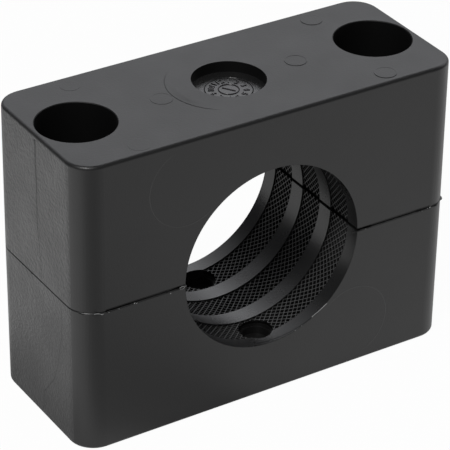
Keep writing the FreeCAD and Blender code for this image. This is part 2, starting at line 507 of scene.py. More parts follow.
@dataclass
class Moulding:
    """One half of the clamp: the CAD solid with its facets shaded as the curves they stand for."""

    half: Half
    sizes: ClampSizes
    finishes: dict[Region, bpy.types.Material]
    sharp_angle_deg: float = 32.0
    weld_mm: float = 0.001
    joint_bevel: float = 0.2
    # How much wider the joint gapes along the front than its bevel, by x in the row's frame.
    gap_x: tuple = (
        -50.0, -49.5, -47.0, -42.5, -41.5, -37.0, -31.0, -28.0, 28.0, 31.0, 34.0, 41.0, 48.0, 48.5,
    )
    gap_by: tuple = (0.0, 0.06, 0.12, 0.08, 0.2, 0.25, 0.24, 0.25, 0.25, 0.2, 0.09, 0.06, 0.04, 0.0)
    gap_in_bore: float = 0.58
    groove_depth: float = 1.5
    full_groove_gap: float = 0.2
    cut_reach_m: float = 1e-7
    # Distances from the middle along X: all edges of the joint in the bore lie beyond the first, the bore
    # lies within the second, and the halves gape within the third.
    bore_edge: float = 20.0
    bore_reach: float = 30.0
    gape_reach: float = 50.0
    # How far the bands and mouths reach beyond the lands.
    mouth_reach: float = 6.0
    # How far a point or the middle of a face may lie from the surface that it is sorted by.
    near: float = 0.01
    edge_slack: float = 0.05
    slack: float = 0.1
    wall_slack: float = 0.3
    front_slack: float = 0.6
    end_slack: float = 1.0
    # How squarely a face looks along X to be an end, and along Z to be flat, to be no wall and to be level.
    end_facing: float = 0.97
    flat_facing: float = 0.9
    wall_facing: float = 0.5
    level_facing: float = 0.999

    def build(self, node: bpy.types.Object) -> bpy.types.Object:
        """Makes the visible moulding from the CAD node.

        Args:
            node: The CAD node, which stays as it is.

        Returns:
            The moulding, which stands for the node.
        """
        points, triangles = self.welded(node.data)
        item = Shape(points, triangles.tolist()).object(f"{self.half.value}_moulding")
        mesh = item.data
        self.open_joint(mesh)
        mesh.set_sharp_from_angle(angle=math.radians(self.sharp_angle_deg))
        for region in list(Region)[: Region.RECESS_FLOOR.value + 1]:
            mesh.materials.append(self.finishes[region])
        mesh.polygons.foreach_set("material_index", self.regions(mesh))
        weighted = item.modifiers.new("even shading", "WEIGHTED_NORMAL")
        weighted.keep_sharp = True
        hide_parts(node.name)
        return item

    def welded(self, mesh: bpy.types.Mesh) -> tuple[np.ndarray, np.ndarray]:
        """Merges the points of loose triangles that lie in one place.

        Args:
            mesh: A mesh of loose triangles, in metres.

        Returns:
            The merged points in millimetres, and rows of three indices.
        """
        points = np.zeros(len(mesh.vertices) * 3)
        mesh.vertices.foreach_get("co", points)
        points = points.reshape(-1, 3) / MM
        corners = np.zeros(len(mesh.loops), np.int64)
        mesh.loops.foreach_get("vertex_index", corners)
        _, first, where = np.unique(
            np.round(points / self.weld_mm).astype(np.int64), axis=0, return_index=True, return_inverse=True
        )
        triangles = where.ravel()[corners].reshape(-1, 3)
        a, b, c = triangles.T
        return points[first], triangles[(a != b) & (b != c) & (c != a)]

    def open_joint(self, mesh: bpy.types.Mesh) -> None:
        """Opens the joint into a narrow groove along the front and in the bore, where the halves gape.

        The faces are cut at each given place and at the groove's lip in the bore. On the front the lip
        moves away from the joint by the wider gap, and the groove's bottom moves into the clamp. In the
        bore the bottom moves away from the tube.

        Args:
            mesh: The moulding's mesh, in metres.
        """
        skin = bmesh.new()
        skin.from_mesh(mesh)
        joint = self.sizes.joint_height
        away = -1 if self.half is Half.LOWER else 1
        cuts = [((x * MM, 0, 0), (1, 0, 0)) for x in self.gap_x]
        cuts.append(((0, 0, (joint + away * self.gap_in_bore) * MM), (0, 0, 1)))
        for place, normal in cuts:
            whole = list(skin.verts) + list(skin.edges) + list(skin.faces)
            bmesh.ops.bisect_plane(skin, geom=whole, plane_co=place, plane_no=normal, dist=self.cut_reach_m)
        skin.to_mesh(mesh)
        skin.free()
        points = np.zeros(len(mesh.vertices) * 3)
        mesh.vertices.foreach_get("co", points)
        points = points.reshape(-1, 3) / MM
        x, y, z = points.T.copy()
        front = -self.sizes.half_width
        wider = np.interp(x, self.gap_x, self.gap_by, left=0, right=0)
        lip = (y < front + self.slack) & (np.abs(z - joint - away * self.joint_bevel) < self.near)
        points[lip, 2] += away * wider[lip]
        bottom = np.abs(z - joint) < self.near
        along_front = bottom & (y < front + self.joint_bevel + self.edge_slack)
        points[along_front, 1] += self.groove_depth * np.minimum(wider[along_front] / self.full_groove_gap, 1)
        bore = self.sizes.land_radius + self.sizes.band_depth + self.slack
        in_bore = bottom & (np.abs(x) > self.bore_edge) & (np.abs(x) < bore)
        points[in_bore, 0] += np.copysign(self.groove_depth, x[in_bore])
        mesh.vertices.foreach_set("co", (points * MM).ravel())
        mesh.update()

    def regions(self, mesh: bpy.types.Mesh) -> np.ndarray:
        """Sorts the faces by the surface that they belong to.

        A face is judged by its middle and by its normal, in the half's own frame.

        Args:
            mesh: The moulding's mesh, in metres.

        Returns:
            One material index for each face.
        """
        sizes = self.sizes
        middle = sizes.place(face_middles(mesh), self.half)
        normal = np.zeros(len(middle) * 3)
        mesh.polygons.foreach_get("normal", normal)
        sideways, _, upright = np.abs(normal.reshape(-1, 3)).T
        along, height = middle[:, 1:].T
        across = np.abs(middle[:, 0])
        found = np.full(len(middle), Region.LONG_SIDE.value)
        at_end = across > sizes.half_length - self.end_slack
        found[(sideways > self.end_facing) & at_end] = Region.END.value
        low = height < sizes.recess_depth + self.slack
        flat = upright > self.flat_facing
        found[low & flat] = Region.OUTER_FACE.value
        from_axis = np.hypot(middle[:, 0], height - sizes.joint_height)
        deep = np.abs(along) < sizes.half_width - self.edge_slack
        round_bore = from_axis < sizes.land_radius + self.mouth_reach
        found[round_bore & (across < self.bore_reach) & deep] = Region.BORE.value
        from_bolt = np.hypot(across - sizes.bolt_offset, along)
        wall = (upright < self.flat_facing) & (from_bolt < sizes.bolt_radius + self.wall_slack)
        from_middle = np.hypot(middle[:, 0], along)
        in_recess = low & (height > sizes.recess_depth - self.slack) & (from_middle < sizes.recess_radius)
        found[in_recess & flat] = Region.RECESS_FLOOR.value
        # The recess walls and the faces in the joint's gap take the dark wall finish, whose darker colour is
        # painted shade.
        wall |= (upright < self.wall_facing) & (from_middle < sizes.recess_radius + self.wall_slack) & low
        gap = (height > sizes.joint_height - self.gap_in_bore - self.near) & (upright < self.level_facing)
        gaping = (across < self.bore_reach) | (along < self.front_slack - sizes.half_width)
        wall |= gap & gaping & (across < self.gape_reach)
        found[wall] = Region.HOLE_WALL.value
        return found.astype(np.int32)


@dataclass
class KnurledBands:
    """The crossed ridges in the three bands of one half's bore."""

    half: Half
    sizes: ClampSizes
    crest_finish: bpy.types.Material
    slope_finish: bpy.types.Material
    repeats: int = 94
    axial_pitch: float = 1.65
    below_lands: float = 0.35
    ridge_height: float = 0.75
    crest_share: float = 1 / 6
    steps: int = 12
    seat: float = 0.1
    steps_off_joint: int = 4
    sharp_angle_deg: float = 60.0
    crest_slack: float = 0.04

    def build(self) -> list[bpy.types.Object]:
        """Makes one closed piece for each band.

        Returns:
            The three pieces, from the back of the clamp to its front.
        """
        pitch = self.sizes.band_width + self.sizes.middle_land_width
        pieces = []
        for place, middle in (("back", pitch), ("middle", 0.0), ("front", -pitch)):
            shape = self.band(middle - self.sizes.bore_shift)
            shape.points = self.sizes.place(shape.points, self.half)
            item = shape.object(f"{self.half.value}_{place}_knurl")
            item.data.set_sharp_from_angle(angle=math.radians(self.sharp_angle_deg))
            self.finish(item.data)
            pieces.append(item)
        return pieces

    def finish(self, mesh: bpy.types.Mesh) -> None:
        """Gives the flat crests their lighter finish, a painted highlight, and the rest of a band its darker
        finish, painted shade, by distance from the tube's axis.

        Args:
            mesh: The band's mesh, in metres.
        """
        middle = face_middles(mesh)
        radius = np.hypot(middle[:, 0], middle[:, 2] - self.sizes.joint_height)
        on_slope = radius > self.sizes.land_radius + self.below_lands + self.crest_slack
        mesh.materials.append(self.crest_finish)
        mesh.materials.append(self.slope_finish)
        mesh.polygons.foreach_set("material_index", on_slope.astype(np.int32))

    def radius(self, round_count: np.ndarray, along_count: np.ndarray) -> np.ndarray:
        """Distance of the knurl from the tube's axis.

        With p repeats round the bore and q along it, one family of ridges lies where p + q is a whole
        number and the other where p - q is. How far a point lies from its nearest ridge, as a share of
        half the spacing, is t for each family, and the radius is the ridge radius plus the ridge height
        times the smaller t, less a flat crest.

        Args:
            round_count: Repeats counted round the bore.
            along_count: Repeats counted along the bore.

        Returns:
            The radius at each point.
        """
        first = round_count + along_count
        second = round_count - along_count
        nearer = np.minimum(2 * np.abs(first - np.round(first)), 2 * np.abs(second - np.round(second)))
        depth = np.clip((nearer - self.crest_share) / (1 - self.crest_share), 0, 1)
        return self.sizes.land_radius + self.below_lands + self.ridge_height * depth

    def band(self, middle: float) -> Shape:
        """One band of the lower half as a closed shape.

        The grid has a fixed number of steps to each repeat in both directions, so that every ridge runs
        along the diagonals of the grid, and each square is split along the ridge that is nearer to it.

        Args:
            middle: Middle of the band along the tube.

        Returns:
            The band, open where the pocket passes through it.
        """
        half_width = self.sizes.band_width / 2
        reach = int(half_width / self.axial_pitch * self.steps)
        rows = np.arange(-reach, reach + 1) / self.steps
        rows = np.concatenate([[-half_width / self.axial_pitch], rows, [half_width / self.axial_pitch]])
        # The ends stay short of the joint, where the halves gape.
        last = self.repeats // 2 * self.steps - self.steps_off_joint
        columns = np.arange(self.steps_off_joint, last + 1) / self.steps
        column, row = np.meshgrid(columns, rows, indexing="ij")
        angle = column / self.repeats * 2 * np.pi
        top = self.grid(angle, row * self.axial_pitch + middle, self.radius(column, row))
        floor = np.full_like(angle, self.sizes.land_radius + self.sizes.band_depth + self.seat)
        bottom = self.grid(angle, row * self.axial_pitch + middle, floor)
        return self.closed(top, bottom, column, row)

    def grid(self, angle: np.ndarray, along: np.ndarray, radius: np.ndarray) -> np.ndarray:
        """Points of a surface round the tube's axis.

        The angle is counted from +X down through the half's deepest line to -X, so a point lies at
        (radius cos a, along, joint height - radius sin a).

        Args:
            angle: Angle of each point in radians.
            along: Place of each point along the tube.
            radius: Distance of each point from the axis.

        Returns:
            The points, in an array with one more axis than the angle.
        """
        return np.stack(
            [radius * np.cos(angle), along, self.sizes.joint_height - radius * np.sin(angle)], axis=-1
        )

    def closed(self, top: np.ndarray, bottom: np.ndarray, column: np.ndarray, row: np.ndarray) -> Shape:
        """Joins the ridged surface and the seat behind it into one closed shape.

        Squares whose corners all lie in the pocket are left out, and corners of the others that lie in it
        are moved straight out to its wall. Every border of what is left gets a wall between the surfaces.

        Args:
            top: Points of the ridged surface.
            bottom: Points of the seat.
            column: Repeats round the bore at each point.
            row: Repeats along the bore at each point.

        Returns:
            The closed shape.
        """
        middle = top[0, :, 1].mean() + self.sizes.bore_shift
        centre_y = math.copysign(self.sizes.pocket_spacing / 2, middle) - self.sizes.bore_shift
        inside = np.zeros(top.shape[:2], bool)
        for surface in (top, bottom):
            away = surface[..., :2] - np.array([0, centre_y])
            distance = np.hypot(away[..., 0], away[..., 1])
            if surface is top:
                inside = distance < self.sizes.pocket_radius
            share = self.sizes.pocket_radius / np.maximum(distance, 1e-6)
            surface[..., :2] = np.where(
                inside[..., None], away * share[..., None] + np.array([0, centre_y]), surface[..., :2]
            )
        kept = ~(inside[:-1, :-1] & inside[1:, :-1] & inside[:-1, 1:] & inside[1:, 1:])
        index = np.arange(top[..., 0].size).reshape(top.shape[:2])
        offset = index.size
        a, b, c, d = index[:-1, :-1], index[1:, :-1], index[1:, 1:], index[:-1, 1:]
        mid_column = (column[:-1, :-1] + column[1:, 1:]) / 2
        mid_row = (row[:-1, :-1] + row[1:, 1:]) / 2
        first = mid_column + mid_row
        second = mid_column - mid_row
        along_second = np.abs(first - np.round(first)) > np.abs(second - np.round(second))
        split = np.where(
            along_second[..., None],
            np.stack([a, c, b, a, d, c], axis=-1),
            np.stack([a, d, b, b, d, c], axis=-1),
        )[kept].reshape(-1, 3)
        back = np.stack([a, b, c, d], axis=-1)[kept] + offset
        walls = self.walls(kept, index, offset)
        points = np.vstack([top.reshape(-1, 3), bottom.reshape(-1, 3)])
        faces = split.tolist() + back.tolist() + walls
        used = np.unique(np.concatenate([split.ravel(), back.ravel(), np.array(walls).ravel()]))
        renumber = np.full(len(points), -1)
        renumber[used] = np.arange(len(used))
        return Shape(points[used], [renumber[face].tolist() for face in faces])

    @staticmethod
    def walls(kept: np.ndarray, index: np.ndarray, offset: int) -> list:
        """Walls between the ridged surface and its seat, along each border of the kept squares.

        Args:
            kept: Which squares of the grid are kept.
            index: Number of each point of the ridged surface.
            offset: How far the seat's points are numbered on from these.

        Returns:
            One face of four corners for each border.
        """
        padded = np.pad(kept, 1)
        centre = padded[1:-1, 1:-1]
        a, b, c, d = index[:-1, :-1], index[1:, :-1], index[1:, 1:], index[:-1, 1:]
        sides = (
            (padded[:-2, 1:-1], a, d),
            (padded[1:-1, 2:], d, c),
            (padded[2:, 1:-1], c, b),
            (padded[1:-1, :-2], b, a),
        )
        found = []
        for beside, start, end in sides:
            border = centre & ~beside
            near, far = start[border], end[border]
            found.append(np.stack([far, near, near + offset, far + offset], axis=-1))
        return np.vstack(found).tolist()


@dataclass(frozen=True)
class Disc:
    """One mark of an ejector pin: its middle on the outer face, its radius and how proud its rim stands.

    The hollow is the share of that height by which its middle lies below its rim.
    """

    x: float
    y: float
    proud: float
    hollow: float = 0.0
    radius: float = 3.0


@dataclass
class EjectorMarks:
    """The slightly raised discs that the ejector pins leave on the outer face of a half."""

    half: Half
    sizes: ClampSizes
    finish: bpy.types.Material
    # Places in the half's own frame, where the side that the photograph shows on the right is at -X.
    discs: tuple = (
        Disc(-20.4, -0.2, proud=0.1, hollow=0.7), Disc(-37.0, 17.3, proud=0.11, hollow=0.2),
        Disc(-36.7, -17.7, proud=0.11, hollow=0.45), Disc(20.4, -0.4, proud=0.06, hollow=0.8),
        Disc(37.0, 17.5, proud=0.03, radius=2.7), Disc(37.3, -18.0, proud=0.02),
    )
    edge_radius: float = 0.03
    flat_rim: float = 0.12
    slope: float = 0.16
    sink: float = 0.2
    segments: int = 64
    edge_points: int = 4
    sharp_angle_deg: float = 50.0

    def build(self) -> bpy.types.Object:
        """Makes the six discs as one piece.

        Returns:
            The piece.
        """
        shapes = []
        for mark in self.discs:
            disc = revolved(self.profile(mark), self.segments)
            # The outer face of the half's own frame looks down, so the disc is turned over.
            disc.points = disc.points * np.array([1.0, -1.0, -1.0]) + np.array([mark.x, mark.y, 0.0])
            shapes.append(disc)
        shape = joined(shapes)
        shape.points = self.sizes.place(shape.points, self.half)
        item = shape.object(f"{self.half.value}_ejector_marks")
        item.data.set_sharp_from_angle(angle=math.radians(self.sharp_angle_deg))
        item.data.materials.append(self.finish)
        return item

    def profile(self, mark: Disc) -> np.ndarray:
        """Side of a disc from under the face to its flat top.

        The edge is a quarter circle no larger than half the disc's height. A flat rim and a slope down to
        the middle follow, and one more ring keeps the shading of the middle flat.

        Args:
            mark: The disc.

        Returns:
            Rows of radius and height.
        """
        edge = min(self.edge_radius, mark.proud / 2)
        turn = np.linspace(0, np.pi / 2, self.edge_points)
        rounding = np.stack(
            [mark.radius - edge * (1 - np.cos(turn)), mark.proud - edge * (1 - np.sin(turn))], axis=-1
        )
        start = [[mark.radius, -self.sink]]
        rim = mark.radius - edge - self.flat_rim
        floor = mark.proud * (1 - mark.hollow)
        inside = [[rim, mark.proud], [rim - self.slope, floor], [rim - self.slope - self.flat_rim, floor]]
        return np.vstack([start, rounding, inside])


@dataclass
class MouldLines:
    """Hairlines that the mould leaves on a half: the ring of a core pin on the front and a line on each end.

    One end shows the mould's seam, and the other one the line where two streams of plastic met.
    """

    half: Half
    sizes: ClampSizes
    finish: bpy.types.Material
    end_finish: bpy.types.Material
    ring_middle: tuple[float, float] = (26.0, 13.1)
    ring_radius: float = 11.1
    ring_arc_deg: tuple[float, float] = (-72.0, 140.0)
    ring_height: float = 0.015
    ring_half_width: float = 0.17
    ring_points: int = 120
    ring_fade_points: int = 12
    ring_thinnest: float = 0.1
    draft_deg: float = 0.1
    # Height, place along Y and half the width of the seam, from the outer face to the joint.
    seam: tuple = (
        (1.3, -0.7, 0.33), (9.0, -0.6, 0.3), (16.0, -0.8, 0.25), (22.0, -0.8, 0.18), (29.0, -1.1, 0.1),
        (36.0, -1.9, 0.07), (41.0, -2.6, 0.06),
    )
    # The same of the line where the streams met.
    flow: tuple = (
        (2.0, -1.5, 0.09), (8.0, -2.0, 0.09), (15.0, -7.5, 0.08), (22.0, -10.3, 0.07), (30.0, -12.0, 0.05),
        (40.0, -12.5, 0.04),
    )
    line_height: float = 0.02
    line_step: float = 0.6
    wander: float = 0.1
    wander_length: float = 3.0
    end_slack: float = 1.0

    def build(self) -> bpy.types.Object:
        """Makes the lines as one piece.

        Returns:
            The piece.
        """
        shape = joined([self.ring(), self.end_line(self.seam, 1), self.end_line(self.flow, -1)])
        shape.points = self.sizes.place(shape.points, self.half)
        item = shape.object(f"{self.half.value}_mould_lines")
        item.data.materials.append(self.finish)
        item.data.materials.append(self.end_finish)
        on_end = np.abs(face_middles(item.data)[:, 0]) > self.sizes.half_length - self.end_slack
        item.data.polygons.foreach_set("material_index", on_end.astype(np.int32))
        return item

    def lean(self, height: np.ndarray) -> np.ndarray:
        """How far the sides lie inside their place at the joint, by height in the half's own frame."""
        return (self.sizes.joint_height - height) * math.tan(math.radians(self.draft_deg))

    def ring(self) -> Shape:
        """The ring of a core pin on the front, as an arc that thins out at both ends.

        A point at angle a of the arc lies at (across + radius cos a, front, up + radius sin a).

        Returns:
            The arc, which stands proud by a hair.
        """
        across, up = self.ring_middle
        angle = np.radians(np.linspace(*self.ring_arc_deg, self.ring_points))
        height = up + self.ring_radius * np.sin(angle)
        front = -(self.sizes.half_width - self.lean(height))
        path = np.stack([across + self.ring_radius * np.cos(angle), front, height], axis=-1)
        from_start = np.arange(self.ring_points)
        from_end = from_start[::-1]
        fade = np.clip(np.minimum(from_start, from_end) / self.ring_fade_points, self.ring_thinnest, 1)
        return ridge(path, np.array([0.0, -1.0, 0.0]), self.ring_half_width * fade, self.ring_height * fade)

    def end_line(self, stations: tuple, side: int) -> Shape:
        """A hairline down one end of the half.

        It runs through its stations, and wanders by a sine of the height.

        Args:
            stations: Rows of height, place along Y and half width.
            side: 1 for the end at +X in the half's own frame, -1 for the other one.

        Returns:
            The line, which stands proud by a hair.
        """
        given = np.array(stations)
        height = np.arange(given[0, 0], given[-1, 0], self.line_step)
        along = np.interp(height, given[:, 0], given[:, 1])
        along += self.wander * np.sin(height / self.wander_length)
        width = np.interp(height, given[:, 0], given[:, 2])
        end = side * (self.sizes.half_length - self.lean(height))
        path = np.stack([end, along, height], axis=-1)
        return ridge(path, np.array([float(side), 0.0, 0.0]), width, self.line_height)


@dataclass
class Flash:
    """Thin fins of plastic squeezed out at the joint and at the front mouth of the lower half."""

    sizes: ClampSizes
    finishes: dict[Region, bpy.types.Material]
    corner_radius: float = 7.1
    below_joint: float = 0.27
    half_width: float = 0.06
    base_height: float = 0.03
    fin_sink: float = 0.35
    # Where the fin starts and ends, in millimetres round the joint. It is open at the bore.
    stretches: tuple = ((-14.0, 15.0), (16.0, 50.5), (101.5, 126.0), (126.5, 137.0))
    way_step: float = 0.25
    # Where the fin stands out more: how far round the joint in millimetres, its half length and height.
    nubs: tuple = (
        (-19.0, 0.5, 0.55), (-8.0, 0.3, 0.12), (-3.0, 0.4, 0.15), (20.5, 1.0, 0.35), (24.0, 1.6, 0.3),
        (33.5, 0.5, 0.28), (44.5, 0.5, 0.28), (48.0, 0.6, 0.35), (103.5, 0.7, 0.25), (107.0, 0.6, 0.25),
        (123.5, 1.2, 0.3), (129.0, 1.3, 0.45), (133.0, 1.5, 0.5),
    )
    # Flakes on the front, pale with a painted glint: x, z and radius.
    flakes: tuple = (
        (-49.0, 41.45, 0.13), (-46.1, 41.5, 0.11), (-41.6, 41.7, 0.19), (-40.9, 41.5, 0.14),
        (-31.0, 41.15, 0.15), (29.2, 41.6, 0.1), (30.4, 41.7, 0.16), (46.6, 41.55, 0.12), (47.5, 41.6, 0.15),
        (49.4, 41.8, 0.12), (50.1, 41.9, 0.2), (7.7, 16.7, 0.13), (9.7, 17.5, 0.11), (13.05, 19.3, 0.2),
        (17.5, 21.9, 0.15), (24.9, 0.9, 0.15),
    )
    # Side of a flake as radius and height, in shares of the flake's radius.
    flake_side: tuple = ((0.6, -0.3), (1.0, 0.1), (0.8, 0.5), (0.3, 0.75))
    flake_segments: int = 7
    flake_stretch: tuple[float, float] = (1.25, 0.8)
    flake_lean: float = 0.2
    # Threads on the front, pale with a painted glint too: x, z and half their width.
    threads: tuple = (
        (
            (-53.2, 42.2, 0.05), (-52.3, 42.1, 0.09), (-51.6, 41.8, 0.05), (-51.0, 41.4, 0.1),
            (-50.5, 41.5, 0.04),
        ),
        ((-28.3, 41.75, 0.03), (-27.7, 42.0, 0.06), (-27.0, 42.0, 0.04), (-26.6, 41.8, 0.06)),
        ((-28.3, 41.35, 0.03), (-27.4, 41.35, 0.04), (-26.6, 41.65, 0.05)),
        ((13.05, 19.3, 0.06), (15.0, 20.3, 0.05), (16.2, 21.05, 0.06), (17.5, 21.9, 0.07)),
    )
    thread_points: int = 4
    thread_rise: float = 1.2
    thread_sink: float = 0.1
    # A low step along the bottom of the front mouth's land, dark with the painted shade of the wall finish:
    # degrees from +X, and how far behind the front.
    trim: tuple = ((-100.0, 1.3), (-90.0, 1.1), (-75.0, 0.6), (-62.0, 0.35), (-52.0, 0.2))
    trim_points: int = 80
    trim_half_width: float = 0.14
    trim_height: float = 0.03

    def build(self) -> list[bpy.types.Object]:
        """Makes one piece for each finish: the fins, the flakes and threads, pale as painted glints, and the
        dark line on the mouth's land, dark with painted shade.

        Returns:
            The three pieces.
        """
        pieces = []
        for name, region, shapes in (
            ("joint_flash", Region.LONG_SIDE, self.joint_fins()),
            ("whitened_flash", Region.WHITENED, self.whitened()),
            ("mouth_trim", Region.HOLE_WALL, [self.mouth_trim()]),
        ):
            item = joined(shapes).object(name)
            item.data.materials.append(self.finishes[region])
            pieces.append(item)
        return pieces

    def edge(self, way: np.ndarray) -> tuple[np.ndarray, np.ndarray]:
        """Place and outward direction on the block's outline, by the way round it.

        The way is counted from the middle of the left end, through the near corner, to the right.

        Args:
            way: Lengths along the outline.

        Returns:
            Points at the flash's height, and unit directions away from the block.
        """
        radius = self.corner_radius
        straight = self.sizes.half_width - radius
        arc = radius * math.pi / 2
        front = 2 * (self.sizes.half_length - radius)
        first = np.clip((way - straight) / radius, 0, math.pi / 2)
        second = np.clip((way - straight - arc - front) / radius, 0, math.pi / 2)
        turn = first + second
        out = np.stack([-np.cos(turn), -np.sin(turn), np.zeros_like(turn)], axis=-1)
        along_end = np.minimum(way, straight)
        along_front = np.clip(way - straight - arc, 0, front)
        after = np.maximum(way - straight - 2 * arc - front, 0)
        middle_x = -self.sizes.half_length + radius + along_front
        middle_y = -along_end + after
        points = np.stack(
            [middle_x + radius * out[:, 0], middle_y + radius * out[:, 1], np.zeros_like(way)], axis=-1
        )
        points[:, 2] = self.sizes.joint_height - self.below_joint
        return points, out

    def joint_fins(self) -> list[Shape]:
        """Fins along the joint from the left end round the front to the right end.

        With w for the way round the joint, the base height wavers as 0.6 + 0.4 sin 1.7w sin (0.63w + 1),
        and the fin goes up and down by 0.05 sin 2.3w. A nub adds a bow, 1 less the square of the share of
        its half length, times its height, and the greater of both heights holds.

        Returns:
            One shape for each stretch.
        """
        shapes = []
        for start, end in self.stretches:
            way = np.arange(start, end, self.way_step)
            height = self.base_height * (0.6 + 0.4 * np.sin(way * 1.7) * np.sin(way * 0.63 + 1))
            for middle, reach, rise in self.nubs:
                height = np.maximum(height, rise * np.clip(1 - ((way - middle) / reach) ** 2, 0, 1))
            points, out = self.edge(way)
            points[:, 2] += 0.05 * np.sin(way * 2.3)
            shapes.append(ridge(points, out, self.half_width, height, sink=self.fin_sink))
        return shapes

    def whitened(self) -> list[Shape]:
        """Flakes and threads of plastic on the front face, at the joint and at the mouth, pale as painted
        glints.

        A flake is a small turned knob that looks out of the face, stretched along it and leaning a little.

        Returns:
            One shape for each flake and thread.
        """
        front = -self.sizes.half_width
        outwards = np.array([0.0, -1.0, 0.0])
        longer, lower = self.flake_stretch
        shapes = []
        for x, z, radius in self.flakes:
            flake = revolved(np.array(self.flake_side) * radius, self.flake_segments)
            wide, high, out = flake.points.T
            upwards = z + high * lower + wide * self.flake_lean
            flake.points = np.stack([x + wide * longer, front - out, upwards], axis=-1)
            shapes.append(flake)
        for thread in self.threads:
            given = np.array(thread)
            share = np.linspace(0, len(given) - 1, self.thread_points * len(given))
            x, z, width = (np.interp(share, np.arange(len(given)), column) for column in given.T)
            path = np.stack([x, np.full_like(x, front), z], axis=-1)
            shapes.append(ridge(path, outwards, width, self.thread_rise * width, sink=self.thread_sink))
        return shapes

    def mouth_trim(self) -> Shape:
        """A low step along the bottom of the front mouth's land, dark with painted shade.

        A point at angle a lies at (radius cos a, its distance behind the front, joint + radius sin a).

        Returns:
            The step.
        """
        degrees, behind = np.array(self.trim).T
        angle = np.linspace(degrees[0], degrees[-1], self.trim_points)
        along = np.interp(angle, degrees, behind) - self.sizes.half_width
        turn = np.radians(angle)
        inward = np.stack([-np.cos(turn), np.zeros_like(turn), -np.sin(turn)], axis=-1)
        path = np.array([0, 0, self.sizes.joint_height]) - inward * self.sizes.land_radius
        path[:, 1] = along
        return ridge(path, inward, self.trim_half_width, self.trim_height)


@dataclass
class RecessDial:
    """A plain dial of the twelve months on the recess floor: numbers, two rings and a pointer."""

    half: Half
    sizes: ClampSizes
    finish: bpy.types.Material
    months: int = 12
    number_height: float = 2.4
    number_radius: float = 4.5
    number_rise: float = 0.22
    number_curve_steps: int = 3
    sharp_angle_deg: float = 40.0
    ring_radii: tuple[float, float] = (2.7, 6.3)
    ring_half_width: float = 0.15
    ring_points: int = 96
    pointer_length: float = 1.9
    pointer_half_width: float = 0.2
    pointer_way: tuple[float, float] = (0.55, 0.84)
    pointer_points: int = 9

    def build(self) -> bpy.types.Object:
        """Makes the dial as one piece.

        Returns:
            The piece.
        """
        shapes = [self.number(count) for count in range(1, self.months + 1)] + self.lines()
        shape = joined(shapes)
        shape.points = self.sizes.place(shape.points, self.half)
        item = shape.object(f"{self.half.value}_recess_dial")
        item.data.set_sharp_from_angle(angle=math.radians(self.sharp_angle_deg))
        item.data.materials.append(self.finish)
        return item

    def number(self, count: int) -> Shape:
        """One number of the dial, read from outside the recess.

        The number is moved out to its radius and then turned by its share of the dial.

        Args:
            count: The number.

        Returns:
            The raised number in the half's own frame, where the outer face looks down.
        """
        text = bpy.data.curves.new("number", "FONT")
        text.body = str(count)
        text.size = self.number_height
        text.extrude = self.number_rise
        text.resolution_u = self.number_curve_steps
        text.align_x = "CENTER"
        text.align_y = "CENTER"
        carrier = bpy.data.objects.new("number", text)
        mesh = bpy.data.meshes.new_from_object(carrier)
        points = np.zeros(len(mesh.vertices) * 3)
        mesh.vertices.foreach_get("co", points)
        points = points.reshape(-1, 3)
        faces = [list(face.vertices) for face in mesh.polygons]
        bpy.data.objects.remove(carrier)
        bpy.data.meshes.remove(mesh)
        turn = -2 * np.pi * count / self.months
        cosine, sine = np.cos(turn), np.sin(turn)
        turning = np.array([[cosine, -sine, 0], [sine, cosine, 0], [0, 0, 1]])
        spun = (points + np.array([0, self.number_radius, 0])) @ turning.T
        return Shape(spun * np.array([-1.0, 1.0, -1.0]) + np.array([0, 0, self.sizes.recess_depth]), faces)

    def lines(self) -> list[Shape]:
        """The rings inside and outside the numbers, and the pointer in the middle.

        Returns:
            The two rings and the pointer.
        """
        middle = np.array([0.0, 0.0, self.sizes.recess_depth])
        down = np.array([0.0, 0.0, -1.0])
        angle = np.linspace(0, 2 * np.pi, self.ring_points, endpoint=False)
        circle = np.stack([np.cos(angle), np.sin(angle), np.zeros_like(angle)], axis=-1)
        rings = [
            ridge(circle * radius + middle, down, self.ring_half_width, self.number_rise, closed=True)
            for radius in self.ring_radii
        ]
        along = np.linspace(-1, 1, self.pointer_points)[:, None] * self.pointer_length
        line = along * np.array([*self.pointer_way, 0.0]) + middle
        return [*rings, ridge(line, down, self.pointer_half_width, self.number_rise)]


